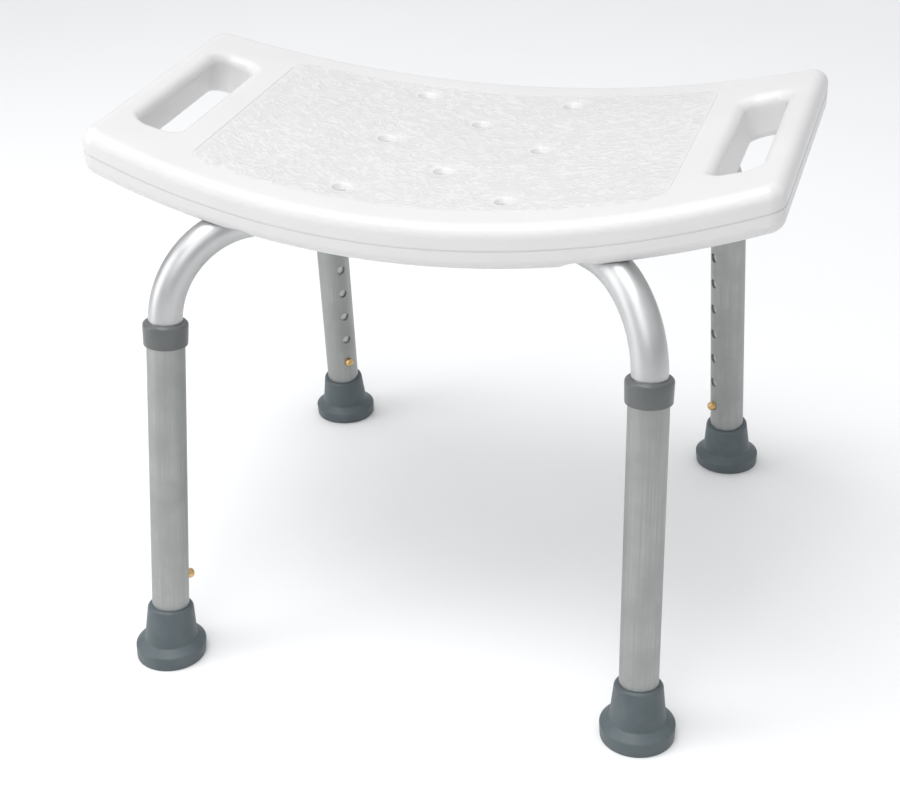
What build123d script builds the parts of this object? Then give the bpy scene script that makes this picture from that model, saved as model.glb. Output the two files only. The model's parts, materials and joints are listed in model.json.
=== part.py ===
from build123d import *
from collections import namedtuple
from math import asin, cos, hypot, pi, radians, sin, sqrt, tan
import os

# A height-adjustable shower stool in millimetres. +X runs along the seat, +Y towards the back, +Z up,
# and the origin is the point of the floor under the middle of the seat.

# --- Seat: one blow-moulded shell, dished along its length ---
seat_height = 359.0  # top of the seat's middle above the floor
seat_length = 506.0
seat_depth = 253.6  # front to back, at the two ends
seat_bulge = 27.0  # how far each long edge swells out at the middle
seat_dip = 41.0  # how far the ends stand above the middle
seat_thickness = 33.0
seat_wall = 3.0
corner_radius = 13.0
top_round = 9.5
bottom_round = 9.0
parting_depth = 0.4  # groove where the two halves of the mould met
parting_width = 1.2
parting_drop = 17.5  # how far the parting line lies below the top surface
vent_radius = 4.0  # hole left by the blowing pin
vent_inset = 8.8

panel_end_margin = 79.5  # round the sunken, textured sitting panel
panel_side_margin = 12.3
panel_bulge = 10.5
panel_corner = 16.0
panel_recess = 0.8

slot_inset = 40.5  # from the seat's end to the middle of a hand slot
slot_width = 33.0
slot_end_margin = 47.8
slot_corner = 12.0
slot_top_round = 8.5
slot_bottom_round = 5.0

drain_x = 59.4
drain_edge_inset = 12.6  # of the outer drain holes, from the panel's edge
drain_mid_y = 51.0
drain_radius = 3.5
drain_mouth = 7.2
drain_cone_angle = 75.0
drain_edge_round = 1.0
drain_flare = 1.0  # how far the funnel's cutter runs on above the surface

scallop_x = 117.0  # shallow waves in the lower edge, which let water out of the leg channels
scallop_half_width = 20.0
scallop_depth = 4.5

# --- Legs: four bent tubes that splay outwards, with telescopic extensions ---
foot_x = 184.3  # where each leg's axis meets the floor
foot_y = 202.8
lean_x = 1.5  # degrees from upright, seen from the front
lean_y = 7.62  # degrees from upright, seen from the side
insert_cover = 3.7  # from the top of an insert to the top of the seat's middle
bend_radius = 70.0
upper_outer = 12.7
upper_wall = 1.4
upper_low_end = 42.0  # lower end of the bent tube, along the leg's axis
upper_inner_end = 27.0  # inner end of the level run, from the middle of the stool
channel_gap = 0.6  # between a tube and its channel in the seat
channel_tail = 20.0  # of the channel's cutter, below the bend
telescope_gap = 0.1  # all round, between the two tubes of a leg
extension_wall = 1.5

button_height = 65.6  # lowest height hole, along the leg's axis
hole_pitch = 25.4
hole_gap = 0.2  # all round a button, in its height hole
hole_margin = 15.0  # least distance from the highest height hole to the collar

collar_wall = 2.7
collar_length = 18.2
collar_lip = 4.0
collar_gap = 0.5  # between the collar's top and the start of the bend
collar_top_round = 3.0
collar_low_round = 1.0
fit_gap = 0.05  # all round, between pieces that are pressed or screwed together

# --- Rubber tips ---
tip_base_ledge = 7.6  # from the foot of the cone out to the edge of the base
tip_base_height = 10.5
tip_bevel_height = 5.0
tip_cone_taper = 2.3
tip_wall = 3.2  # at the rim
tip_height = 42.5
tip_floor = 7.5  # rubber under the tube, along the leg's axis
tip_edge_round = 1.8
tip_base_round = 1.0
tip_cone_foot = 6.0  # where the cone starts, along the leg's axis
tread_radii = (8.0, 14.0, 20.0)
tread_width = 2.0
tread_depth = 1.2
washer_thickness = 1.5
washer_bore = 5.0

# --- Snap buttons and their leaf springs ---
button_radius = 3.8
button_proud = 5.0
button_slide_gap = 0.1
button_flange_ledge = 1.0
button_flange = 1.0
button_flange_gap = 1.4  # from the flange to the wall of the tube
button_dome = 3.2
button_stub_radius = 1.5
button_stub_proud = 0.4
leaf_thickness = 0.8
leaf_width = 8.0
leaf_pad = 7.0
leaf_apex = 42.0  # top of the bow above the button
leaf_foot = 6.0  # of the far arm, below the button
leaf_far_gap = 1.5  # from the middle of the far arm to the wall of the tube
leaf_bend = 2.5

# --- Centre plate, screws, inserts and plugs ---
plate_margin = 16.0  # from the inner screws to the plate's edge
plate_thickness = 3.0
plate_round = 1.2
screw_radius = 3.0
screw_hole_gap = 0.3
screw_head_radius = 5.6
screw_head_height = 3.4
screw_socket_radius = 2.3
screw_socket_depth = 2.2
screw_places = (46.0, 120.0)  # from the middle of the stool, along each level run
insert_radius = 4.5
insert_length = 8.0
boss_wall = 4.0
screw_end_gap = 0.5
plug_head = 2.5
plug_spigot = 14.0

# --- Sizes that follow from these ---
half_length = seat_length / 2
half_depth = seat_depth / 2
slot_centre = half_length - slot_inset
slot_length = seat_depth - 2 * slot_end_margin
panel_length = seat_length - 2 * panel_end_margin
panel_depth = seat_depth - 2 * panel_side_margin
drain_y = panel_depth / 2 - drain_edge_inset
vent_y = half_depth - vent_inset
dish_radius = (half_length**2 + seat_dip**2) / (2 * seat_dip)
dish_centre = seat_height + dish_radius
upper_bore = upper_outer - upper_wall
channel_radius = upper_outer + channel_gap
insert_top = seat_height - insert_cover
channel_top = insert_top - insert_length
frame_level = channel_top - channel_radius
extension_bore = upper_outer + telescope_gap
extension_outer = extension_bore + extension_wall
tube_socket = extension_outer + fit_gap
collar_outer = extension_outer + collar_wall
tip_cone_top = extension_outer + tip_wall
tip_cone_low = tip_cone_top + tip_cone_taper
tip_base_radius = tip_cone_low + tip_base_ledge
plate_radius = screw_places[0] + plate_margin
plate_top = frame_level - upper_outer
plate_bottom = plate_top - plate_thickness
extension_low_end = tip_floor + washer_thickness
hole_radius = button_radius + hole_gap
button_flange_radius = button_radius + button_flange_ledge
button_flange_face = upper_bore - button_flange_gap
leaf_far_side = upper_bore - leaf_far_gap
leaf_face = button_flange_face - button_flange
leaf_middle = leaf_face - leaf_thickness / 2
slot_margin = slot_top_round + seat_wall
funnel_depth = (drain_mouth - drain_radius) / tan(radians(drain_cone_angle / 2))
scallop_reach = half_depth + seat_bulge
scallop_skirt = bottom_round  # how far the scallop's cutter reaches below the surface
wave_radius = (scallop_half_width**2 + scallop_depth**2) / (4 * scallop_depth)
drains = [(x, y) for x in (-drain_x, drain_x) for y in (-drain_y, 0, drain_y)]
drains += [(0, -drain_mid_y), (0, drain_mid_y)]


def seat_top(x):
    """The height of the seat's top surface at a distance from its middle."""
    return dish_centre - sqrt(dish_radius**2 - x**2)


Leg = namedtuple("Leg", "name foot up inward level_run corner_along corner_reach side")


def make_leg(name, side_x, side_y):
    """A leg's axis, the way its bend goes, and the upright plane that holds both."""
    foot = Vector(side_x * foot_x, side_y * foot_y, 0)
    up = Vector(-side_x * tan(radians(lean_x)), -side_y * tan(radians(lean_y)), 1).normalized()
    corner_along = frame_level / up.Z
    corner = foot + up * corner_along
    level_run = (Vector(0, 0, frame_level) - corner).normalized()
    inward = (level_run - up * level_run.dot(up)).normalized()
    side = Plane(origin=foot, x_dir=inward, z_dir=inward.cross(up))
    return Leg(name, foot, up, inward, level_run, corner_along, hypot(corner.X, corner.Y), side)


legs = [
    make_leg("front_left", -1, -1),
    make_leg("front_right", 1, -1),
    make_leg("rear_left", -1, 1),
    make_leg("rear_right", 1, 1),
]
rise = asin(legs[0].level_run.dot(legs[0].up))  # angle between the level run and a square to the leg
bend_tangent = bend_radius * tan((radians(90) - rise) / 2)
bend_start = legs[0].corner_along - bend_tangent
channel_start = bend_start - channel_tail
collar_top = bend_start - collar_gap
collar_bottom = collar_top - collar_length
extension_top = collar_top - collar_lip
hole_count = 1 + int((collar_bottom - hole_margin - button_height) / hole_pitch)


def across(leg, along):
    """The plane square to a leg at a distance along its axis."""
    return Plane(origin=leg.foot + leg.up * along, x_dir=leg.inward, z_dir=leg.up)


def tube_path(leg, low_end, inner_end):
    """The centre line of a bent tube, from its lower end to its end near the middle of the stool."""
    level_length = leg.corner_reach - inner_end
    with BuildLine(leg.side) as path:
        FilletPolyline(
            (0, low_end),
            (0, leg.corner_along),
            (level_length * cos(rise), leg.corner_along + level_length * sin(rise)),
            radius=bend_radius,
        )
    return path.line


def run_point(leg, reach, height):
    """A point on the level run of a leg, at a distance from the middle of the stool."""
    return Vector(-leg.level_run.X * reach, -leg.level_run.Y * reach, height)


def plan_outline(length, depth, bulge, corner, inset):
    """A rectangle with bowed long edges and rounded corners, made smaller all round by an inset."""
    with BuildSketch(Plane.XY.offset(seat_height - seat_thickness - seat_dip)) as outline:
        with BuildLine():
            ThreePointArc((-length / 2, -depth / 2), (0, -depth / 2 - bulge), (length / 2, -depth / 2))
            Line((length / 2, -depth / 2), (length / 2, depth / 2))
            ThreePointArc((length / 2, depth / 2), (0, depth / 2 + bulge), (-length / 2, depth / 2))
            Line((-length / 2, depth / 2), (-length / 2, -depth / 2))
        make_face()
        fillet(outline.vertices(), radius=corner)
        if inset:
            offset(amount=-inset)
    return outline.sketch


def seat_outline(inset):
    """The seat's own outline from above."""
    return plan_outline(seat_length, seat_depth, seat_bulge, corner_radius, inset)


def dished(outline, high, low):
    """A solid under an outline, between two depths below the seat's dished top surface."""
    with BuildPart() as slab:
        add(outline)
        extrude(amount=seat_thickness + 3 * seat_dip)
        with BuildSketch(Plane.XZ):
            with Locations((0, dish_centre)):
                Circle(dish_radius + low)
                Circle(dish_radius + high, mode=Mode.SUBTRACT)
        extrude(amount=seat_depth, both=True, mode=Mode.INTERSECT)
    return slab.part


def seat_block(inset):
    """The seat's outer form, or its hollow inside when there is an inset."""
    high = inset + (panel_recess if inset else 0)
    with BuildPart() as block:
        add(dished(seat_outline(inset), high, seat_thickness - inset))
        upper = block.faces().sort_by(SortBy.AREA)[-2:].sort_by(Axis.Z)[-1]
        fillet(upper.edges(), radius=top_round - inset)
        lower = block.faces().sort_by(SortBy.AREA)[-1]
        fillet(lower.edges(), radius=bottom_round - inset)
    return block.part


def slot_plane(side_x):
    """The plane that lies on the seat's top surface at a hand slot."""
    normal = Vector(-side_x * slot_centre, 0, sqrt(dish_radius**2 - slot_centre**2))
    return Plane(
        origin=(side_x * slot_centre, 0, seat_top(slot_centre)),
        x_dir=Vector(0, 1, 0).cross(normal),
        z_dir=normal,
    )


def scallop(leg, margin):
    """The outline of a leg's scallop, a smooth wave in the seat's lower surface, larger by a margin."""
    side_x = 1 if leg.foot.X > 0 else -1
    side_y = 1 if leg.foot.Y > 0 else -1
    start = scallop_x * abs(leg.level_run.Y / leg.level_run.X)
    outwards = Vector(0, side_y, 0)
    upwards = Vector(-side_x * scallop_x, 0, sqrt(dish_radius**2 - scallop_x**2)).normalized()
    surface = Vector(side_x * scallop_x, side_y * start, seat_top(scallop_x)) - upwards * seat_thickness
    with BuildSketch(Plane(origin=surface, x_dir=upwards.cross(outwards), z_dir=outwards)) as outline:
        with BuildLine():
            left_foot = (-scallop_half_width, 0)
            right_foot = (scallop_half_width, 0)
            rising = RadiusArc(left_foot, (-scallop_half_width / 2, scallop_depth / 2), -wave_radius)
            crown = ThreePointArc(rising @ 1, (0, scallop_depth), (scallop_half_width / 2, scallop_depth / 2))
            RadiusArc(crown @ 1, right_foot, -wave_radius)
            left_skirt = (-scallop_half_width, -scallop_skirt)
            right_skirt = (scallop_half_width, -scallop_skirt)
            Polyline(right_foot, right_skirt, left_skirt, left_foot)
        make_face()
        if margin:
            offset(amount=margin)
    return outline.sketch


def keep(piece, name):
    """Name a finished piece and write it."""
    piece.part.label = name
    export_step(piece.part, "parts/" + name + ".step")


os.makedirs("parts", exist_ok=True)

# The hollow inside the seat, left by the blown air. Plastic stays round each drain hole, hand slot,
# leg channel, scallop and insert.
with BuildPart() as hollow:
    add(seat_block(seat_wall))
    with BuildSketch(Plane.XY.offset(seat_height - 2 * seat_thickness)):
        with Locations(*drains):
            Circle(drain_mouth + seat_wall)
    extrude(amount=4 * seat_thickness, mode=Mode.SUBTRACT)
    for side_x in (-1, 1):
        with BuildSketch(slot_plane(side_x)):
            RectangleRounded(
                slot_width + 2 * slot_margin,
                slot_length + 2 * slot_margin,
                slot_corner + slot_margin,
            )
        extrude(amount=2 * seat_thickness, both=True, mode=Mode.SUBTRACT)
    for leg in legs:
        with BuildSketch(across(leg, channel_start)):
            Circle(channel_radius + seat_wall)
        sweep(path=tube_path(leg, channel_start, 0), mode=Mode.SUBTRACT)
        extrude(scallop(leg, seat_wall), amount=scallop_reach, mode=Mode.SUBTRACT)
        for reach in screw_places:
            with BuildSketch(Plane(run_point(leg, reach, frame_level))):
                Circle(insert_radius + boss_wall)
            extrude(amount=seat_thickness, mode=Mode.SUBTRACT)

with BuildPart() as parting_groove:
    parting_top = parting_drop - parting_width / 2
    parting_low = parting_drop + parting_width / 2
    add(dished(seat_outline(-parting_depth), parting_top, parting_low))
    add(dished(seat_outline(parting_depth), parting_top, parting_low), mode=Mode.SUBTRACT)

with BuildPart() as seat:
    add(seat_block(0))
    panel = plan_outline(panel_length, panel_depth, panel_bulge, panel_corner, 0)
    add(dished(panel, -panel_recess, panel_recess), mode=Mode.SUBTRACT)
    for side_x in (-1, 1):
        mouth = slot_plane(side_x)
        with BuildSketch(mouth):
            RectangleRounded(slot_width, slot_length, slot_corner)
        extrude(amount=2 * seat_thickness, both=True, mode=Mode.SUBTRACT)
        rims = [(-mouth.to_local_coords(edge.center()).Z, edge) for edge in seat.edges(Select.LAST)]
        fillet([edge for depth, edge in rims if depth < seat_thickness / 4], radius=slot_top_round)
        fillet([edge for depth, edge in rims if depth > seat_thickness * 3 / 4], radius=slot_bottom_round)
    for leg in legs:
        with BuildSketch(across(leg, channel_start)):
            Circle(channel_radius)
        sweep(path=tube_path(leg, channel_start, 0), mode=Mode.SUBTRACT)
        extrude(scallop(leg, 0), amount=scallop_reach, mode=Mode.SUBTRACT)
        for reach in screw_places:
            with BuildSketch(Plane(run_point(leg, reach, frame_level))):
                Circle(insert_radius)
            extrude(amount=insert_top - frame_level, mode=Mode.SUBTRACT)
    add(parting_groove.part, mode=Mode.SUBTRACT)
    add(hollow.part, mode=Mode.SUBTRACT)
    with Locations(*[(x, y, seat_top(x) - panel_recess - funnel_depth) for x, y in drains]):
        Cone(
            bottom_radius=drain_radius,
            top_radius=drain_mouth + drain_flare,
            height=funnel_depth * (1 + drain_flare / (drain_mouth - drain_radius)),
            align=(Align.CENTER, Align.CENTER, Align.MIN),
            mode=Mode.SUBTRACT,
        )
    rims = seat.edges(Select.LAST).filter_by(lambda edge: edge.length > 2 * pi * (drain_mouth - drain_flare))
    fillet(rims, radius=drain_edge_round)
    with Locations(*[(x, y, seat_top(x) - seat_thickness) for x, y in drains]):
        Cylinder(radius=drain_radius, height=4 * seat_thickness, mode=Mode.SUBTRACT)
    with BuildSketch(Plane((0, vent_y, seat_height - seat_thickness - seat_wall))):
        Circle(vent_radius)
    extrude(amount=3 * seat_wall, mode=Mode.SUBTRACT)
keep(seat, "seat")

with BuildPart() as centre_plate:
    with BuildSketch(Plane.XY.offset(plate_bottom)):
        Circle(plate_radius)
        with Locations(*[run_point(leg, screw_places[0], 0) for leg in legs]):
            Circle(screw_radius + screw_hole_gap, mode=Mode.SUBTRACT)
    extrude(amount=plate_thickness)
    fillet(centre_plate.edges().filter_by(GeomType.CIRCLE).sort_by(SortBy.RADIUS)[-2:], radius=plate_round)
keep(centre_plate, "centre_plate")

with BuildPart() as screws:
    for leg in legs:
        for reach, seat_level in zip(screw_places, (plate_bottom, plate_top)):
            with BuildSketch(Plane(run_point(leg, reach, seat_level - screw_head_height))):
                Circle(screw_head_radius)
            extrude(amount=screw_head_height)
            with BuildSketch(Plane(run_point(leg, reach, seat_level))):
                Circle(screw_radius)
            extrude(amount=insert_top - seat_level - screw_end_gap)
            with BuildSketch(Plane(run_point(leg, reach, seat_level - screw_head_height))):
                RegularPolygon(radius=screw_socket_radius, side_count=6)
            extrude(amount=screw_socket_depth, mode=Mode.SUBTRACT)
keep(screws, "screws")

with BuildPart() as threaded_inserts:
    for leg in legs:
        for reach in screw_places:
            with BuildSketch(Plane(run_point(leg, reach, channel_top))):
                Circle(insert_radius - fit_gap)
                Circle(screw_radius + fit_gap, mode=Mode.SUBTRACT)
            extrude(amount=insert_length)
keep(threaded_inserts, "threaded_inserts")

for leg in legs:
    button_plane = Plane(origin=leg.foot + leg.up * button_height, x_dir=leg.up, z_dir=leg.inward)

    with BuildPart() as upper_leg:
        with BuildSketch(across(leg, upper_low_end)):
            Circle(upper_outer)
            Circle(upper_bore, mode=Mode.SUBTRACT)
        sweep(path=tube_path(leg, upper_low_end, upper_inner_end))
        for reach in screw_places:
            with BuildSketch(Plane(run_point(leg, reach, frame_level))):
                Circle(screw_radius + screw_hole_gap)
            extrude(amount=2 * upper_outer, both=True, mode=Mode.SUBTRACT)
        with BuildSketch(button_plane):
            Circle(button_radius + button_slide_gap)
        extrude(amount=2 * upper_outer, mode=Mode.SUBTRACT)
    keep(upper_leg, "upper_leg_" + leg.name)

    with BuildPart() as end_plug:
        mouth = Plane(origin=run_point(leg, upper_inner_end, frame_level), z_dir=leg.level_run)
        with BuildSketch(mouth):
            Circle(upper_outer)
        extrude(amount=plug_head)
        with BuildSketch(mouth):
            Circle(upper_bore - fit_gap)
        extrude(amount=-plug_spigot)
    keep(end_plug, "end_plug_" + leg.name)

    with BuildPart() as leg_extension:
        with BuildSketch(across(leg, extension_low_end)):
            Circle(extension_outer)
            Circle(extension_bore, mode=Mode.SUBTRACT)
        extrude(amount=extension_top - extension_low_end)
        with BuildSketch(button_plane):
            with Locations(*[(step * hole_pitch, 0) for step in range(hole_count)]):
                Circle(hole_radius)
        extrude(amount=2 * extension_outer, mode=Mode.SUBTRACT)
    keep(leg_extension, "leg_extension_" + leg.name)

    with BuildPart() as collar:
        with BuildSketch(across(leg, collar_bottom)):
            Circle(collar_outer)
        extrude(amount=collar_length)
        fillet(collar.edges().sort_by(Axis(leg.foot, leg.up))[-1], radius=collar_top_round)
        fillet(collar.edges().sort_by(Axis(leg.foot, leg.up))[0], radius=collar_low_round)
        with BuildSketch(across(leg, collar_bottom)):
            Circle(tube_socket)
        extrude(amount=extension_top - collar_bottom, mode=Mode.SUBTRACT)
        with BuildSketch(across(leg, collar_bottom)):
            Circle(extension_bore)
        extrude(amount=collar_length, mode=Mode.SUBTRACT)
    keep(collar, "collar_" + leg.name)

    with BuildPart() as tip:
        with BuildSketch(Plane(leg.foot)):
            Circle(tip_base_radius)
        extrude(amount=tip_base_height)
        fillet(tip.edges().filter_by(GeomType.CIRCLE), radius=tip_base_round)
        with BuildSketch(Plane(leg.foot).offset(tip_base_height)):
            Circle(tip_base_radius - tip_base_round)
        shoulder = (tip_base_height + tip_bevel_height) / leg.up.Z
        with BuildSketch(Plane(leg.foot + leg.up * shoulder)):
            Circle(tip_cone_low)
        loft()
        with BuildSketch(across(leg, tip_cone_foot)):
            Circle(tip_cone_low)
        with BuildSketch(across(leg, tip_height)):
            Circle(tip_cone_top)
        loft()
        fillet(tip.edges().sort_by(Axis(leg.foot, leg.up))[-1], radius=tip_edge_round)
        with BuildSketch(across(leg, tip_floor)):
            Circle(tube_socket)
        extrude(amount=tip_height, mode=Mode.SUBTRACT)
        with BuildSketch(Plane(leg.foot)):
            for radius in tread_radii:
                Circle(radius + tread_width / 2)
                Circle(radius - tread_width / 2, mode=Mode.SUBTRACT)
        extrude(amount=tread_depth, mode=Mode.SUBTRACT)
    keep(tip, "tip_" + leg.name)

    with BuildPart() as tip_washer:
        with BuildSketch(across(leg, tip_floor)):
            Circle(extension_outer)
            Circle(washer_bore, mode=Mode.SUBTRACT)
        extrude(amount=washer_thickness)
    keep(tip_washer, "tip_washer_" + leg.name)

    with BuildPart() as snap_button:
        with BuildSketch(button_plane.offset(button_flange_face)):
            Circle(button_radius)
        extrude(amount=extension_outer + button_proud - button_flange_face)
        fillet(snap_button.edges().sort_by(Axis(leg.foot, leg.inward))[-1], radius=button_dome)
        with BuildSketch(button_plane.offset(button_flange_face)):
            Circle(button_flange_radius)
        extrude(amount=-button_flange)
        with BuildSketch(button_plane.offset(leaf_face)):
            Circle(button_stub_radius)
        extrude(amount=-leaf_thickness - button_stub_proud)
    keep(snap_button, "snap_button_" + leg.name)

    with BuildPart() as leaf_spring:
        with BuildSketch(leg.side):
            with BuildLine() as bow:
                FilletPolyline(
                    (leaf_middle, button_height - leaf_pad),
                    (leaf_middle, button_height + leaf_pad),
                    (0, button_height + leaf_apex),
                    (-leaf_far_side, button_height - leaf_foot),
                    radius=leaf_bend,
                )
            trace(bow.line, line_width=leaf_thickness)
        extrude(amount=leaf_width / 2, both=True)
        with BuildSketch(button_plane):
            Circle(button_stub_radius + fit_gap)
        extrude(amount=upper_outer, mode=Mode.SUBTRACT)
    keep(leaf_spring, "leaf_spring_" + leg.name)
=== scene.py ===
# %% [markdown]
# # A shower stool with height-adjustable legs
#
# The stool was designed in CAD: its sizes, its tubes and the way each leg slides and each button is
# pressed are settled there. This script gives that design its looks. It loads the design as a fixed
# frame, makes the moulded and turned pieces again with the soft edges and the grain that a real stool
# has, and gives every surface a procedural material. Everything is in metres, +Z is up, and the origin
# is the point of the floor under the middle of the seat.

# %% Load the frame
import json
from collections import namedtuple
from math import cos, degrees, hypot, pi, radians, sin

import bmesh
import bpy
from mathutils import Matrix, Vector, kdtree, noise
from mathutils.bvhtree import BVHTree


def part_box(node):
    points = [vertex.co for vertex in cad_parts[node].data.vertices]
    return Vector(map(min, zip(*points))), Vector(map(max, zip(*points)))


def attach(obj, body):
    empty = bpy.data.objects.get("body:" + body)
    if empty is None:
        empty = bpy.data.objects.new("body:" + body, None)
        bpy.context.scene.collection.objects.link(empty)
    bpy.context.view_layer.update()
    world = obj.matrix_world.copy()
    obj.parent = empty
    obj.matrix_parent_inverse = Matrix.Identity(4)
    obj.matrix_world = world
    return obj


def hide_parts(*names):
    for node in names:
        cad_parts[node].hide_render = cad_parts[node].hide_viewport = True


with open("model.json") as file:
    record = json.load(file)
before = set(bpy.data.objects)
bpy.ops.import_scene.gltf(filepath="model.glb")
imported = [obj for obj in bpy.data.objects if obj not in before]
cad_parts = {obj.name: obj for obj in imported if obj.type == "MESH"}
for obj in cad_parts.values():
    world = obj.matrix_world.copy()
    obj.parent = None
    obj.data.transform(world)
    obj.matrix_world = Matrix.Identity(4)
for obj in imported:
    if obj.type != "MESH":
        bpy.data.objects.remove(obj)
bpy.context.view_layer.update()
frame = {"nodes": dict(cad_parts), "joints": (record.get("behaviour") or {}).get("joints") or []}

nodes = frame["nodes"]

# %% [markdown]
# ## The camera
#
# The camera stands to the right of the stool's front and looks down on it, from about a metre and a
# quarter away. A camera in Blender looks along its own -Z, so it is turned in three steps: it is tilted
# up from looking straight down, turned about the upright, and rolled a little about its own axis. A
# small shift moves the picture on the sensor, as a view camera does, so that upright lines stay as they
# are. Depth of field stays off.

# %% Camera
camera_place = Vector((0.3603, -1.1950, 0.8179))
camera_turn = radians(20.11)
camera_tilt = radians(28.76)
camera_roll = radians(-2.64)

lens = bpy.data.cameras.new("camera")
lens.lens = 70.06
lens.shift_x = 0.0800
lens.shift_y = 0.0149
camera = bpy.data.objects.new("camera", lens)
camera.matrix_world = (
    Matrix.Translation(camera_place)
    @ Matrix.Rotation(camera_turn, 4, "Z")
    @ Matrix.Rotation(pi / 2 - camera_tilt, 4, "X")
    @ Matrix.Rotation(camera_roll, 4, "Z")
)
bpy.context.scene.collection.objects.link(camera)
bpy.context.scene.camera = camera
print("camera at", [round(c, 3) for c in camera_place])

# %% [markdown]
# ## Helpers for materials
#
# Node trees are long to write out, so one helper adds a node, sets its settings and fills its inputs.
# An input is either a value, which is set on the node, or another node's output, which is linked.

# %% Node helpers
def add_node(tree, kind, inputs=None, **settings):
    """A new node with its settings, and its inputs set or linked."""
    made = tree.nodes.new(kind)
    for name, value in settings.items():
        setattr(made, name, value)
    for name, value in (inputs or {}).items():
        if isinstance(value, bpy.types.NodeSocket):
            tree.links.new(value, made.inputs[name])
        else:
            made.inputs[name].default_value = value
    return made


def new_group(name, inputs, outputs):
    """An empty node group with named inputs and outputs, and the nodes that stand for them."""
    group = bpy.data.node_groups.new(name, "ShaderNodeTree")
    for label, kind, value in inputs:
        made = group.interface.new_socket(name=label, in_out="INPUT", socket_type=kind)
        if value is not None:
            made.default_value = value
    for label, kind in outputs:
        group.interface.new_socket(name=label, in_out="OUTPUT", socket_type=kind)
    return group, group.nodes.new("NodeGroupInput"), group.nodes.new("NodeGroupOutput")


def use_group(tree, group, **inputs):
    """A node group placed in a material, with its own values."""
    return add_node(tree, "ShaderNodeGroup", inputs, node_tree=group)


def calculate(tree, operation, *values):
    """The result of a sum on values or masks."""
    return add_node(tree, "ShaderNodeMath", dict(enumerate(values)), operation=operation).outputs[0]


def calculate_vector(tree, operation, *values):
    """The result of a sum on vectors."""
    return add_node(tree, "ShaderNodeVectorMath", dict(enumerate(values)), operation=operation).outputs[0]


def blend_colours(tree, mask, low, high):
    """A colour between two, by a mask."""
    mix = add_node(tree, "ShaderNodeMix", data_type="RGBA")
    tree.links.new(mask, mix.inputs["Factor"])
    mix.inputs["A"].default_value = low
    mix.inputs["B"].default_value = high
    return mix.outputs["Result"]


def stretch(tree, mask, low, high):
    """A mask from 0 to 1 turned into a value between two limits."""
    spread = add_node(tree, "ShaderNodeMapRange", {"Value": mask, "To Min": low, "To Max": high})
    return spread.outputs["Result"]


# %% [markdown]
# ## Floor and light
#
# A product like this is lit with soft boxes in a white room. Bare tubes show the boxes as long bright
# bands and the room between them as grey, so the boxes stand apart: a key light overhead, and weaker ones
# at the left and in front. The room itself is brighter above than near the floor, which leaves the
# undersides their own tone. The floor is a wide plane that is not part of the object.

# %% Floor, lights and world
floor_size = 24.0
soft_boxes = {
    "overhead": {"place": (-0.35, -0.45, 2.1), "wide": 1.5, "deep": 0.9, "power": 21},
    "left": {"place": (-1.5, -0.8, 0.8), "wide": 0.9, "deep": 1.3, "power": 8},
    "front": {"place": (0.2, -2.1, 1.7), "wide": 1.4, "deep": 0.7, "power": 7},
}
aim = Vector((0, 0, 0.25))
room_low = 0.40  # brightness of the room near the floor
room_high = 0.98  # and overhead

for name, box in soft_boxes.items():
    light = bpy.data.lights.new(name, "AREA")
    light.shape = "RECTANGLE"
    light.size = box["wide"]
    light.size_y = box["deep"]
    light.energy = box["power"]
    lamp = bpy.data.objects.new(name, light)
    lamp.location = box["place"]
    lamp.rotation_euler = (aim - lamp.location).to_track_quat("-Z", "Y").to_euler()
    bpy.context.scene.collection.objects.link(lamp)

world = bpy.data.worlds.new("studio")
bpy.context.scene.world = world
world.use_nodes = True
room = world.node_tree
room_way = add_node(room, "ShaderNodeTexCoord").outputs["Generated"]
room_rise = add_node(room, "ShaderNodeSeparateXYZ", {"Vector": room_way}).outputs["Z"]
room.nodes["Background"].inputs["Color"].default_value = (0.97, 0.985, 1.0, 1)
room.links.new(stretch(room, room_rise, room_low, room_high), room.nodes["Background"].inputs["Strength"])
bpy.context.scene.view_settings.view_transform = "Standard"

floor_mesh = bpy.data.meshes.new("floor")
floor_bm = bmesh.new()
bmesh.ops.create_grid(floor_bm, x_segments=1, y_segments=1, size=floor_size / 2)
floor_bm.to_mesh(floor_mesh)
floor_bm.free()
floor = bpy.data.objects.new("floor", floor_mesh)
bpy.context.scene.collection.objects.link(floor)
print("lights:", list(soft_boxes))

# %% [markdown]
# ## Shared effects
#
# Three effects come back in several finishes, so each is a node group that is built once. Mottle is the
# slow, cloudy change of tone that a moulded or anodised surface always has. Grain is the fine, even
# roughness that a mould or an etch bath leaves. Drawn lines are the faint streaks that a die leaves
# along a drawn tube: noise stretched along one direction.

# %% Mottle
mottle, mottle_in, mottle_out = new_group(
    "mottle",
    [("Vector", "NodeSocketVector", None), ("Size", "NodeSocketFloat", 0.05)],
    [("Mask", "NodeSocketFloat")],
)
mottle_scale = calculate(mottle, "DIVIDE", 1.0, mottle_in.outputs["Size"])
mottle_noise = add_node(
    mottle,
    "ShaderNodeTexNoise",
    {"Vector": mottle_in.outputs["Vector"], "Scale": mottle_scale, "Detail": 3.0, "Roughness": 0.55},
)
mottle_range = add_node(
    mottle,
    "ShaderNodeMapRange",
    {"Value": mottle_noise.outputs["Fac"], "From Min": 0.3, "From Max": 0.7},
)
mottle.links.new(mottle_range.outputs["Result"], mottle_out.inputs["Mask"])

# %% Grain
grain, grain_in, grain_out = new_group(
    "grain",
    [("Vector", "NodeSocketVector", None), ("Size", "NodeSocketFloat", 0.001)],
    [("Height", "NodeSocketFloat")],
)
grain_scale = calculate(grain, "DIVIDE", 1.0, grain_in.outputs["Size"])
grain_noise = add_node(
    grain,
    "ShaderNodeTexNoise",
    {"Vector": grain_in.outputs["Vector"], "Scale": grain_scale, "Detail": 2.0, "Roughness": 0.6},
)
grain.links.new(grain_noise.outputs["Fac"], grain_out.inputs["Height"])

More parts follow.
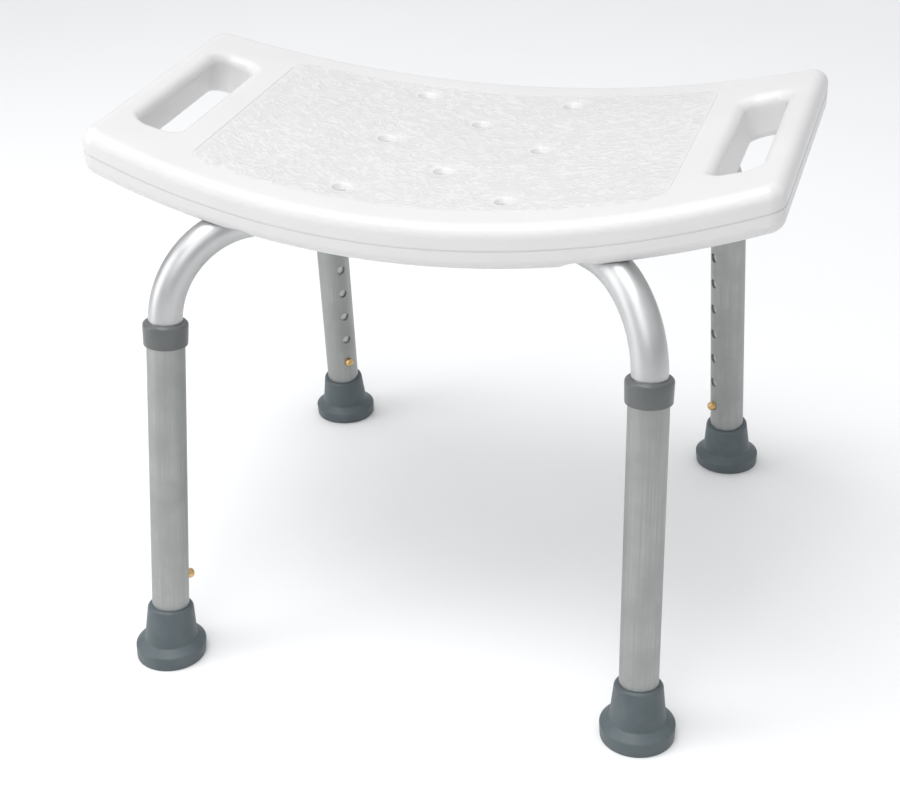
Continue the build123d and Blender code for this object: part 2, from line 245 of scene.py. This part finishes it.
# %% Drawn lines
drawn, drawn_in, drawn_out = new_group(
    "drawn_lines",
    [
        ("Vector", "NodeSocketVector", None),
        ("Width", "NodeSocketFloat", 0.0008),
        ("Length", "NodeSocketFloat", 0.08),
    ],
    [("Mask", "NodeSocketFloat")],
)
drawn_fine = calculate(drawn, "DIVIDE", 1.0, drawn_in.outputs["Width"])
drawn_long = calculate(drawn, "DIVIDE", 1.0, drawn_in.outputs["Length"])
drawn_sizes = add_node(
    drawn, "ShaderNodeCombineXYZ", {"X": drawn_fine, "Y": drawn_fine, "Z": drawn_long}
).outputs[0]
drawn_vector = calculate_vector(drawn, "MULTIPLY", drawn_in.outputs["Vector"], drawn_sizes)
drawn_noise = add_node(
    drawn,
    "ShaderNodeTexNoise",
    {"Vector": drawn_vector, "Scale": 1.0, "Detail": 4.0, "Roughness": 0.6},
)
drawn_range = add_node(
    drawn,
    "ShaderNodeMapRange",
    {"Value": drawn_noise.outputs["Fac"], "From Min": 0.3, "From Max": 0.7},
)
drawn.links.new(drawn_range.outputs["Result"], drawn_out.inputs["Mask"])
print("node groups:", [group.name for group in bpy.data.node_groups])

# %% [markdown]
# ## Crossing wrinkles
#
# Moulds for bath goods are often etched with a tangle of short crossing wrinkles, for grip. A smooth
# noise draws a thin winding line wherever it passes its middle value. One set of wrinkles is such a
# noise, turned to its own direction and stretched along it, and a slower noise fades the lines in and
# out so that they start and end. Three sets cross in one group.

# %% Wrinkle lines
wrinkle_ways = (radians(12), radians(74), radians(133))
line_across = 210.0
line_along = 60.0
line_sharpness = 15.0
line_patch = 90.0

line_shift = 7.3  # sideways, between one set's noise and the next
patch_shift = 11.0
patch_start = 31.7

wrinkled, wrinkled_in, wrinkled_out = new_group(
    "wrinkle_lines", [("Vector", "NodeSocketVector", None)], [("Mask", "NodeSocketFloat")]
)
wrinkled_place = wrinkled_in.outputs["Vector"]
crossing = 0.0
for index, way in enumerate(wrinkle_ways):
    turned_place = add_node(
        wrinkled, "ShaderNodeVectorRotate", {"Vector": wrinkled_place, "Angle": -way}, rotation_type="Z_AXIS"
    ).outputs[0]
    spot = calculate_vector(
        wrinkled, "MULTIPLY_ADD", turned_place, (line_along, line_across, 0), (0, 0, line_shift * index)
    )
    wave = add_node(wrinkled, "ShaderNodeTexNoise", {"Vector": spot, "Scale": 1.0, "Detail": 0.0})
    offset = calculate(wrinkled, "ABSOLUTE", calculate(wrinkled, "SUBTRACT", wave.outputs["Fac"], 0.5))
    line = calculate(wrinkled, "MULTIPLY_ADD", offset, -line_sharpness, 1.0)
    patch_spot = calculate_vector(
        wrinkled,
        "MULTIPLY_ADD",
        wrinkled_place,
        (line_patch, line_patch, 0),
        (0, 0, patch_start + patch_shift * index),
    )
    patch = add_node(wrinkled, "ShaderNodeTexNoise", {"Vector": patch_spot, "Scale": 1.0, "Detail": 0.0})
    patch_mask = add_node(
        wrinkled, "ShaderNodeMapRange", {"Value": patch.outputs["Fac"], "From Min": 0.44, "From Max": 0.56}
    ).outputs[0]
    crossing = calculate(
        wrinkled, "MAXIMUM", calculate(wrinkled, "MULTIPLY", line, patch_mask), crossing
    )
wrinkled.links.new(crossing, wrinkled_out.inputs["Mask"])
print("sets of wrinkles:", len(wrinkle_ways))

# %% [markdown]
# ## One recipe for a finish
#
# Every finish on this stool is built the same way. Mottle moves the colour between two close tones and
# the roughness between two limits, and grain gives the surface its fine relief through a bump. The
# values that are the same all over, such as how metallic it is, are set on the shader itself. On a drawn
# tube the drawn lines set the gloss, and mottle and lines together set the tone.

# %% Finishes
Finish = namedtuple("Finish", "material tree shader place")


def make_finish(
    name, low, high, rough, mottle_size, grain_size, grain_height, metallic=0.0, turn=None, lines=None
):
    """A material whose colour and roughness drift between two limits, with a fine grain."""
    material = bpy.data.materials.new(name)
    material.use_nodes = True
    tree = material.node_tree
    shader = tree.nodes["Principled BSDF"]
    place = add_node(tree, "ShaderNodeTexCoord").outputs["Object"]
    if turn is not None:
        place = add_node(tree, "ShaderNodeMapping", {"Vector": place, "Rotation": turn}).outputs[0]
    tone = use_group(tree, mottle, Vector=place, Size=mottle_size).outputs["Mask"]
    gloss = tone
    if lines is not None:
        gloss = use_group(tree, drawn, Vector=place, **lines).outputs["Mask"]
        tone = calculate(tree, "MULTIPLY", tone, gloss)
    tree.links.new(blend_colours(tree, tone, (*low, 1), (*high, 1)), shader.inputs["Base Color"])
    tree.links.new(stretch(tree, gloss, *rough), shader.inputs["Roughness"])
    relief = use_group(tree, grain, Vector=place, Size=grain_size)
    bump = add_node(
        tree,
        "ShaderNodeBump",
        {"Height": relief.outputs["Height"], "Distance": grain_height, "Strength": 1.0},
    )
    tree.links.new(bump.outputs["Normal"], shader.inputs["Normal"])
    shader.inputs["Metallic"].default_value = metallic
    return Finish(material, tree, shader, place)


def paint(piece, finish):
    """Give a piece or a CAD node one material all over."""
    piece.data.materials.clear()
    piece.data.materials.append(finish.material)


collar_finish = make_finish(
    "collar_plastic", (0.098, 0.104, 0.104), (0.118, 0.125, 0.125), (0.29, 0.35), 0.02, 0.0006, 0.000008
)
tip_finish = make_finish(
    "tip_rubber", (0.070, 0.091, 0.099), (0.094, 0.117, 0.127), (0.40, 0.52), 0.018, 0.0007, 0.00005
)
brass_finish = make_finish(
    "brass", (0.62, 0.40, 0.17), (0.74, 0.50, 0.23), (0.29, 0.38), 0.004, 0.0004, 0.00001, metallic=1.0
)
spring_finish = make_finish(
    "spring_steel", (0.20, 0.21, 0.24), (0.34, 0.34, 0.36), (0.30, 0.42), 0.01, 0.0004, 0.00001, metallic=1.0
)
zinc_finish = make_finish(
    "zinc_steel", (0.48, 0.50, 0.52), (0.66, 0.66, 0.64), (0.3, 0.45), 0.012, 0.0008, 0.00002, metallic=1.0
)
plug_finish = make_finish(
    "plug_plastic", (0.018, 0.018, 0.02), (0.03, 0.03, 0.032), (0.42, 0.55), 0.01, 0.0005, 0.00003
)
bright_finish = make_finish(
    "bright_tube",
    (0.53, 0.535, 0.535),
    (0.60, 0.605, 0.605),
    (0.38, 0.46),
    0.03,
    0.0005,
    0.000006,
    metallic=1.0,
)
print("finishes:", len(bpy.data.materials))

# %% [markdown]
# ## The legs in the frame
#
# Every turned piece on a leg shares the leg's axis, and the joints say where that is: a leg slides down
# along its own axis, and its button is pressed inwards. The foot is the middle of the rubber tip on the
# floor. From these three comes a placing matrix, and a piece that was turned upright at the origin goes
# to its place on the leg in one transform. Lengths and radii are measured on the CAD nodes.

# %% Leg axes
Leg = namedtuple("Leg", "name foot up inward place")


def joint_axis(name):
    """The direction in which a joint slides."""
    return Vector(next(joint["axis"] for joint in frame["joints"] if joint["name"] == name))


def find_leg(name):
    """A leg's foot, its axis and the way its height holes face, with the matrix that places pieces on it."""
    low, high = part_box("tip_" + name)
    foot = Vector(((low.x + high.x) / 2, (low.y + high.y) / 2, 0))
    up = -joint_axis("height_" + name)
    inward = -joint_axis("press_" + name)
    place = Matrix((inward, up.cross(inward), up)).transposed().to_4x4()
    place.translation = foot
    return Leg(name, foot, up, inward, place)


def reach(node, leg):
    """The lowest and highest reach of a CAD node along a leg's axis."""
    heights = [(vertex.co - leg.foot).dot(leg.up) for vertex in nodes[node].data.vertices]
    return min(heights), max(heights)


def girth(node, leg):
    """The smallest and largest distance of a CAD node's surface from a leg's axis."""
    radii = [(vertex.co - leg.foot).cross(leg.up).length for vertex in nodes[node].data.vertices]
    return min(radii), max(radii)


legs = [find_leg(name) for name in ("front_left", "front_right", "rear_left", "rear_right")]
for leg in legs:
    print(leg.name, "leans", round(degrees(leg.up.angle(Vector((0, 0, 1)))), 2), "degrees")

# %% [markdown]
# ## Turned pieces
#
# Collars, rubber tips and buttons are round, so each is turned: a profile of a few points is spun about
# the upright axis, as on a lathe. The corners start sharp. Then each ring of edges at a corner of the
# profile is bevelled to its own size, which is how a moulded corner gets its soft light.

# %% Turning helper
turn_steps = 96
Corner = namedtuple("Corner", "radius height rounding steps", defaults=(0, 4))


def turned(corners):
    """A bmesh spun from a profile of corners, each ring rounded to its own size."""
    bm = bmesh.new()
    points = [bm.verts.new((corner.radius, 0, corner.height)) for corner in corners]
    sides = [bm.edges.new(pair) for pair in zip(points, points[1:])]
    if corners[0].radius > 0:
        sides.append(bm.edges.new((points[-1], points[0])))
    bmesh.ops.spin(
        bm,
        geom=points + sides,
        cent=(0, 0, 0),
        axis=(0, 0, 1),
        angle=2 * pi,
        steps=turn_steps,
        use_merge=True,
    )
    bmesh.ops.remove_doubles(bm, verts=bm.verts, dist=1e-6)
    loose = [edge for edge in bm.edges if edge.is_wire]
    bmesh.ops.delete(bm, geom=loose, context="EDGES")
    for corner in corners:
        if corner.rounding:
            round_ring(bm, corner)
    bmesh.ops.recalc_face_normals(bm, faces=bm.faces)
    return bm


def round_ring(bm, corner, near=1e-5):
    """Bevel the ring of edges at one corner of a turned profile."""
    ring = []
    for edge in bm.edges:
        on_ring = [
            abs(hypot(v.co.x, v.co.y) - corner.radius) < near and abs(v.co.z - corner.height) < near
            for v in edge.verts
        ]
        if all(on_ring):
            ring.append(edge)
    bmesh.ops.bevel(
        bm,
        geom=ring,
        offset=corner.rounding,
        offset_type="OFFSET",
        segments=corner.steps,
        profile=0.5,
        affect="EDGES",
        material=-1,
    )


def smooth_faces(bm, sharp_angle):
    """Shade all faces smooth, apart from edges that turn by more than an angle."""
    for face in bm.faces:
        face.smooth = True
    for edge in bm.edges:
        edge.smooth = edge.calc_face_angle(0) < sharp_angle


def finish_piece(bm, name, body, node, finish):
    """Turn a bmesh into a piece that rides on a body and stands for a CAD node."""
    mesh = bpy.data.meshes.new(name)
    bm.to_mesh(mesh)
    bm.free()
    piece = bpy.data.objects.new(name, mesh)
    bpy.context.scene.collection.objects.link(piece)
    paint(piece, finish)
    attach(piece, body)
    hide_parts(node)
    return piece


# %% [markdown]
# ## Collars
#
# A grey nylon collar caps the wide tube of each leg and guides the thin tube, so that the leg does not
# rattle. It is thickest round its top, where it has a broad rounded shoulder, and tapers a little
# towards its lower edge. Its bore is a close fit on the thin tube.

# %% Collars
collar_taper = 0.0006
collar_shoulder = 0.0032
collar_foot = 0.0011
lip_rounding = 0.00025


def make_collar(leg):
    """A turned collar on the top of a leg's wide tube."""
    node = "collar_" + leg.name
    low, high = reach(node, leg)
    bore, outside = girth(node, leg)
    tube_top = reach("leg_extension_" + leg.name, leg)[1]
    wide_bore = girth("leg_extension_" + leg.name, leg)[1]
    bm = turned([
        Corner(wide_bore, low, 0.0003, 2),
        Corner(wide_bore, tube_top),
        Corner(bore, tube_top),
        Corner(bore, high, lip_rounding, 3),
        Corner(outside, high, collar_shoulder, 8),
        Corner(outside - collar_taper, low, collar_foot),
    ])
    smooth_faces(bm, radians(40))
    bm.transform(leg.place)
    return finish_piece(
        bm, "moulded_collar_" + leg.name, "lower_leg_" + leg.name, node, collar_finish
    )


collars = [make_collar(leg) for leg in legs]
print("collars:", len(collars), "triangles each:", sum(len(p.vertices) - 2 for p in collars[0].data.polygons))

# %% [markdown]
# ## Rubber tips
#
# Each tip stands flat on the floor while its leg leans, so it is turned upright and then bent: the wide
# base stays level, its rings slide along with the leg's axis, and from the base upwards they tilt more
# and more until the rim is square to the tube. The cone runs into the base in a soft hollow, and the
# base has a sloping shoulder. Rings of tread are cut in its underside.

# %% Rubber tips
tip_base_radius = 0.0274
tip_shoulder = 0.0105
tip_cone_foot = Vector((0.0202, 0.0150))
tip_draft = 0.0006  # how much narrower the base is at the floor than at its shoulder
tip_hollow = 0.0002  # how far the cone's foot is let into the base
tip_rim_radius = 0.0175
tread_rings = (0.008, 0.014, 0.020)
tread_width = 0.002
tread_depth = 0.0012


def tip_profile(bore, rim, floor_height):
    """The corners of a tip's profile: treads from the middle out, up the outside, and down the bore."""
    corners = [Corner(0, 0)]
    for ring in tread_rings:
        inner = ring - tread_width / 2
        outer = ring + tread_width / 2
        corners += [Corner(inner, 0, 0.0003, 2), Corner(inner, tread_depth)]
        corners += [Corner(outer, tread_depth), Corner(outer, 0, 0.0003, 2)]
    corners += [
        Corner(tip_base_radius - tip_draft, 0, 0.0009),
        Corner(tip_base_radius, tip_shoulder, 0.0009),
        Corner(tip_cone_foot.x + tip_hollow, tip_cone_foot.y - tip_hollow, 0.0008),
        Corner(tip_rim_radius, rim, 0.0026, 8),
        Corner(bore, rim, 0.00015, 2),
        Corner(bore, floor_height),
        Corner(0, floor_height),
    ]
    return corners


def lean_tip(bm, leg, rim, bore):
    """Bend an upright tip so that its base stays level and its bore follows the leg."""
    turn = Vector((0, 0, 1)).rotation_difference(leg.up).to_matrix()
    for vertex in bm.verts:
        height = vertex.co.z
        inside = hypot(vertex.co.x, vertex.co.y) < bore + 0.0004 and height > tread_depth * 2
        share = min(1, max(0, (height - tip_cone_foot.y) / (rim - tip_cone_foot.y)))
        share = 1.0 if inside else share * share * (3 - 2 * share)
        ring = Vector((vertex.co.x, vertex.co.y, 0))
        axis_point = leg.up * (height / leg.up.z * (1 - share) + height * share)
        vertex.co = leg.foot + axis_point + ring.lerp(turn @ ring, share)


def make_tip(leg):
    """A moulded rubber tip on the lower end of a leg."""
    node = "tip_" + leg.name
    rim = reach(node, leg)[1]
    bore = girth("leg_extension_" + leg.name, leg)[1]
    floor_height = reach("tip_washer_" + leg.name, leg)[0]
    bm = turned(tip_profile(bore, rim, floor_height))
    lean_tip(bm, leg, rim, bore)
    smooth_faces(bm, radians(40))
    return finish_piece(
        bm, "rubber_tip_" + leg.name, "lower_leg_" + leg.name, node, tip_finish
    )


tips = [make_tip(leg) for leg in legs]
print("tips:", len(tips), "triangles each:", sum(len(p.vertices) - 2 for p in tips[0].data.polygons))

# %% [markdown]
# ## Snap buttons
#
# A brass button stands out of the lowest height hole of each leg. Its head is nearly a ball, so that a
# thumb can push it in and the tube can slide over it. Inside the tube it has a flange that stops it, and
# a stub that is riveted to the leaf spring.

# %% Snap buttons
button_radius = 0.0038
button_dome = 0.0033
flange_radius = 0.0048
flange_face = 0.0099  # from the leg's axis
flange_thickness = 0.0010
flange_rounding = 0.0002
stub_radius = 0.0015
stub_rounding = 0.0003


def button_place(leg):
    """The matrix that lays a turned piece along the way a leg's button is pressed."""
    low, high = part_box("snap_button_" + leg.name)
    middle = (low + high) / 2 - leg.foot
    place = Matrix((leg.up, leg.inward.cross(leg.up), leg.inward)).transposed().to_4x4()
    place.translation = leg.foot + leg.up * middle.dot(leg.up)
    return place


def make_button(leg):
    """A turned brass button with its flange and its rivet stub."""
    node = "snap_button_" + leg.name
    depths = [(vertex.co - leg.foot).dot(leg.inward) for vertex in nodes[node].data.vertices]
    stub_end, head = min(depths), max(depths)
    bm = turned([
        Corner(0, stub_end),
        Corner(stub_radius, stub_end, stub_rounding, 3),
        Corner(stub_radius, flange_face - flange_thickness),
        Corner(flange_radius, flange_face - flange_thickness, flange_rounding, 2),
        Corner(flange_radius, flange_face, flange_rounding, 2),
        Corner(button_radius, flange_face),
        Corner(button_radius, head, button_dome, 10),
        Corner(0, head),
    ])
    smooth_faces(bm, radians(40))
    bm.transform(button_place(leg))
    return finish_piece(bm, "brass_button_" + leg.name, "button_" + leg.name, node, brass_finish)


buttons = [make_button(leg) for leg in legs]
print("buttons:", len(buttons))

# %% [markdown]
# ## The tubes
#
# The tubes keep their CAD shape, which is already right: bent, hollow and drilled. Only their surface is
# missing. The wide lower tube has a satin anodised skin with faint lines along its length, from the die
# that it was drawn through. The lines have to follow each leaning leg, so each of the four gets its own
# copy of the finish, turned by a Mapping node until its Z runs along the leg.

# %% Tube finishes
satin_dark = (0.33, 0.34, 0.333)
satin_light = (0.45, 0.46, 0.45)


satin_rough = (0.42, 0.54)
satin_lines = {"Width": 0.0012, "Length": 0.09}


def make_satin_finish(leg):
    """A satin anodised skin whose drawn lines run along one leg."""
    return make_finish(
        "satin_tube_" + leg.name,
        satin_dark,
        satin_light,
        satin_rough,
        0.03,
        0.0005,
        0.00002,
        metallic=1.0,
        turn=leg.up.rotation_difference(Vector((0, 0, 1))).to_euler(),
        lines=satin_lines,
    )


for leg in legs:
    paint(nodes["leg_extension_" + leg.name], make_satin_finish(leg))
    paint(nodes["upper_leg_" + leg.name], bright_finish)
    paint(nodes["end_plug_" + leg.name], plug_finish)
    paint(nodes["leaf_spring_" + leg.name], spring_finish)
    paint(nodes["tip_washer_" + leg.name], zinc_finish)
paint(nodes["centre_plate"], zinc_finish)
paint(nodes["screws"], zinc_finish)
paint(nodes["threaded_inserts"], brass_finish)
print("satin finishes:", len([name for name in bpy.data.materials.keys() if name.startswith("satin_tube")]))

# %% [markdown]
# ## The seat's plastic
#
# White blow-moulded polyethylene has a soft, waxy shine and a barely visible cloudiness. The sunken
# panel has a grain of raised wrinkles. The ground between them is painted a darker tone, a painted shade
# for the grooves, so that the wrinkles look as if they carry more light. The larger wrinkles will be real
# relief in the mesh, which carries them as an attribute named "ridge": 1 on the wrinkles and all round the
# panel, and 0 on the ground, where the painted shade goes. The finest ones come from the group of wrinkle
# lines, as a bump, where the attribute "panel" is 1, and they also keep the painted shade off their lines.

# %% Seat plastic
seat_finish = make_finish(
    "seat_plastic", (0.660, 0.649, 0.651), (0.685, 0.674, 0.676), (0.29, 0.36), 0.07, 0.0012, 0.00002
)
# Painted shade: the darker colour given to the ground between the wrinkles, in place of the shade in the
# grooves.
groove_painted_shade = (0.618, 0.608, 0.611, 1)
fine_line_height = 0.00022

seat_nodes = seat_finish.tree
ridge_mark = add_node(seat_nodes, "ShaderNodeAttribute", attribute_name="ridge").outputs["Fac"]
panel_area = add_node(seat_nodes, "ShaderNodeAttribute", attribute_name="panel").outputs["Fac"]
wrinkle_mask = use_group(seat_nodes, wrinkled, Vector=seat_finish.place).outputs["Mask"]
fine_lines = calculate(seat_nodes, "MULTIPLY", wrinkle_mask, panel_area)
all_lines = calculate(seat_nodes, "MAXIMUM", fine_lines, ridge_mark)

plain_white = seat_finish.shader.inputs["Base Color"].links[0].from_socket
# Painted shade: wherever there is neither a wrinkle nor the margin, the colour drops to the darker ground
# tone.
painted_shade_mix = add_node(seat_nodes, "ShaderNodeMix", {"Factor": all_lines}, data_type="RGBA")
painted_shade_mix.inputs["A"].default_value = groove_painted_shade
seat_nodes.links.new(plain_white, painted_shade_mix.inputs["B"])
seat_nodes.links.new(painted_shade_mix.outputs["Result"], seat_finish.shader.inputs["Base Color"])

plain_relief = seat_finish.shader.inputs["Normal"].links[0].from_socket
fine_relief = add_node(
    seat_nodes,
    "ShaderNodeBump",
    {"Height": fine_lines, "Distance": fine_line_height, "Strength": 1.0, "Normal": plain_relief},
)
seat_nodes.links.new(fine_relief.outputs["Normal"], seat_finish.shader.inputs["Normal"])
print("seat plastic:", len(seat_nodes.nodes), "nodes")

# %% [markdown]
# ## The seat's dish and its panel
#
# The seat is one hollow shell with hand slots, drain holes and channels, and the CAD shape has all of
# them. What it lacks is the panel's grain, and a real grain needs vertices. So a copy of the CAD mesh is
# merged into one skin, and only the floor of the panel is cut into a fine grid. The seat is a part of a
# cylinder that lies along Y. Two plumb lines dropped on the panel, one at its middle, give its radius and
# its centre, and the floor's faces are the ones that lie on that cylinder.

# %% Measure the dish
seat_cad = nodes["seat"].data
seat_tree = BVHTree.FromPolygons(
    [vertex.co for vertex in seat_cad.vertices], [face.vertices for face in seat_cad.polygons]
)
plumb_y = 0.03
plumb_x = 0.15


def plumb(x):
    """The height of the seat's top surface, from a line dropped from above."""
    return seat_tree.ray_cast(Vector((x, plumb_y, 1)), Vector((0, 0, -1)))[0].z


dish_rise = plumb(plumb_x) - plumb(0)
dish_radius = (plumb_x**2 + dish_rise**2) / (2 * dish_rise)
dish_centre = plumb(0) + dish_radius
print("the panel's floor lies on a radius of", round(dish_radius, 4))

# %% Cut the panel's floor into a grid
grain_step = 0.00120
floor_tolerance = 0.00004


def on_floor(face):
    """Whether a face lies on the panel's floor."""
    return all(abs(hypot(v.co.x, v.co.z - dish_centre) - dish_radius) < floor_tolerance for v in face.verts)


def slice_evenly(bm, faces, axis, low, step, first, last):
    """Cut faces at even steps along an axis, by halving them again and again."""
    if last - first < 2:
        return faces
    middle = (first + last) // 2
    level = low + middle * step
    edges = {edge for face in faces for edge in face.edges}
    corners = {corner for face in faces for corner in face.verts}
    cut = bmesh.ops.bisect_plane(
        bm,
        geom=[*faces, *edges, *corners],
        dist=1e-7,
        plane_co=axis * level,
        plane_no=axis,
    )
    cut_faces = [item for item in cut["geom"] if isinstance(item, bmesh.types.BMFace)]
    below = [face for face in cut_faces if face.calc_center_median().dot(axis) < level]
    above = [face for face in cut_faces if face.calc_center_median().dot(axis) >= level]
    below = slice_evenly(bm, below, axis, low, step, first, middle)
    above = slice_evenly(bm, above, axis, low, step, middle, last)
    return below + above


bm = bmesh.new()
bm.from_mesh(seat_cad)
bmesh.ops.remove_doubles(bm, verts=bm.verts, dist=1e-6)
panel_mark = bm.faces.layers.int.new("panel_mark")
floor_faces = [face for face in bm.faces if on_floor(face)]
for face in floor_faces:
    face[panel_mark] = 1
floor_corners = [v.co for face in floor_faces for v in face.verts]
panel_x = max(co.x for co in floor_corners)
panel_y = max(co.y for co in floor_corners)
print("panel:", round(2 * panel_x, 4), "by", round(2 * panel_y, 4), "faces before:", len(floor_faces))

strips_x = round(2 * panel_x / grain_step)
strips_y = round(2 * panel_y / grain_step)
step_x = 2 * panel_x / strips_x
step_y = 2 * panel_y / strips_y
floor_faces = slice_evenly(bm, floor_faces, Vector((1, 0, 0)), -panel_x, step_x, 0, strips_x)
floor_faces = slice_evenly(bm, floor_faces, Vector((0, 1, 0)), -panel_y, step_y, 0, strips_y)
print("faces after the cuts:", len(floor_faces))

# %% [markdown]
# The cuts leave the CAD triangles' own slanting edges inside the squares. An edge that runs along
# neither set of cuts, and has floor on both sides, is dissolved, so that clean squares are left.

# %% Clear the slanting edges
floor_set = set(floor_faces)
slanting = []
for edge in {edge for face in floor_faces for edge in face.edges}:
    run = edge.verts[1].co - edge.verts[0].co
    straight = abs(run.y) < 1e-6 or abs(run.x) < 1e-6
    if not straight and all(face in floor_set for face in edge.link_faces):
        slanting.append(edge)
bmesh.ops.dissolve_edges(bm, edges=slanting, use_verts=True, use_face_split=False)
print("squares on the floor:", sum(face[panel_mark] for face in bm.faces))

# %% [markdown]
# ## The grain
#
# The grain is a tangle of short raised wrinkles, each a millimetre or two wide and up to fifteen long,
# at every angle. Where a smooth noise changes sign it draws thin winding lines, so a ridge is raised
# where the noise is close to zero. Three such noises, each stretched along its own direction, cross each
# other, and a slower noise fades them in and out so that the wrinkles start and end. Towards the border
# of the panel and the drain holes the grain runs out. The floor itself is lifted a little, so that the
# panel's edge is a fine line, but it stays low round each drain hole, where the water has to go.

# %% Raise the grain
grain_height = 0.00038
grain_fade = 0.0035
panel_lift = 0.00060  # of the panel's floor, so that its edge is a soft step
drain_dip = 0.009  # round each drain hole, where the floor stays low
wrinkle_across = 150.0
wrinkle_along = 62.0
wrinkle_sharpness = 5.2
wrinkle_warp = 0.0016  # how far the wrinkles stray from their own line
warp_scale = 90.0
patch_scale = 95.0
patch_gain = 1.9
patch_floor = 0.45


def wrinkles(x, y):
    """How high the grain stands at a point of the panel, from 0 to 1."""
    warp = noise.noise_vector(Vector((x, y, 0)) * warp_scale) * wrinkle_warp
    height = 0.0
    for index, way in enumerate(wrinkle_ways):
        along = (x + warp.x) * cos(way) + (y + warp.y) * sin(way)
        across = (y + warp.y) * cos(way) - (x + warp.x) * sin(way)
        spot = Vector((along * wrinkle_along, across * wrinkle_across, line_shift * index))
        line = max(0.0, 1 - abs(noise.noise(spot)) * wrinkle_sharpness)
        patch_spot = Vector((x * patch_scale, y * patch_scale, patch_start + patch_shift * index))
        patch = noise.noise(patch_spot) * patch_gain + patch_floor
        height = max(height, line * min(1.0, max(0.0, patch)))
    return height * height * (3 - 2 * height)


ridge = bm.verts.layers.float.new("ridge")
panel = bm.verts.layers.float.new("panel")
floor_set = {face for face in bm.faces if face[panel_mark]}
floor_vertices = {v for face in floor_set for v in face.verts}
rim_edges = {edge for face in floor_set for edge in face.edges if not floor_set.issuperset(edge.link_faces)}
rim = {v for edge in rim_edges for v in edge.verts}
outline = set()
waiting = [max(rim, key=lambda v: v.co.x)]
while waiting:
    vertex = waiting.pop()
    if vertex not in outline:
        outline.add(vertex)
        waiting += [edge.other_vert(vertex) for edge in vertex.link_edges if edge in rim_edges]


def near_tree(vertices):
    """A tree that finds how far a point is from a set of vertices."""
    tree = kdtree.KDTree(len(vertices))
    for index, vertex in enumerate(vertices):
        tree.insert(vertex.co, index)
    tree.balance()
    return tree


outline_tree = near_tree(outline)
drain_tree = near_tree(rim - outline)
print("vertices round the panel:", len(outline), "and round its drain holes:", len(rim - outline))

for vertex in bm.verts:
    vertex[ridge] = 1.0
for vertex in floor_vertices:
    from_outline = outline_tree.find(vertex.co)[2]
    from_drain = drain_tree.find(vertex.co)[2]
    fade = min(1.0, min(from_outline, from_drain) / grain_fade)
    lift = wrinkles(vertex.co.x, vertex.co.y) * fade
    slope = min(1.0, from_drain / drain_dip)
    rise = lift * grain_height + panel_lift * slope * slope * (3 - 2 * slope)
    centre = Vector((0, vertex.co.y, dish_centre))
    vertex.co = centre + (vertex.co - centre).normalized() * (dish_radius - rise)
    # The ridge value also sets the painted shade in the seat's colour: where it is 0, between the wrinkles,
    # the ground is painted darker.
    vertex[ridge] = 1 - fade + lift
    vertex[panel] = fade

# %% Finish the seat
seat_sharp = radians(38)
for face in bm.faces:
    face.smooth = True
for edge in bm.edges:
    on_panel = any(vertex in floor_vertices for vertex in edge.verts)
    edge.smooth = on_panel or edge.calc_face_angle(0) < seat_sharp
bm.faces.layers.int.remove(bm.faces.layers.int["panel_mark"])
seat = finish_piece(bm, "moulded_seat", "stool", "seat", seat_finish)
even_normals = seat.modifiers.new("even_normals", "WEIGHTED_NORMAL")
even_normals.keep_sharp = True
print("seat triangles:", sum(len(face.vertices) - 2 for face in seat.data.polygons))

# %% [markdown]
# ## The floor's finish
#
# The floor gets a plain pale finish, nearly white and even all over.

# %% Floor finish
floor_finish = make_finish(
    "studio_floor", (0.90, 0.90, 0.90), (0.91, 0.91, 0.91), (0.6, 0.7), 0.6, 0.002, 0.00001
)
paint(floor, floor_finish)
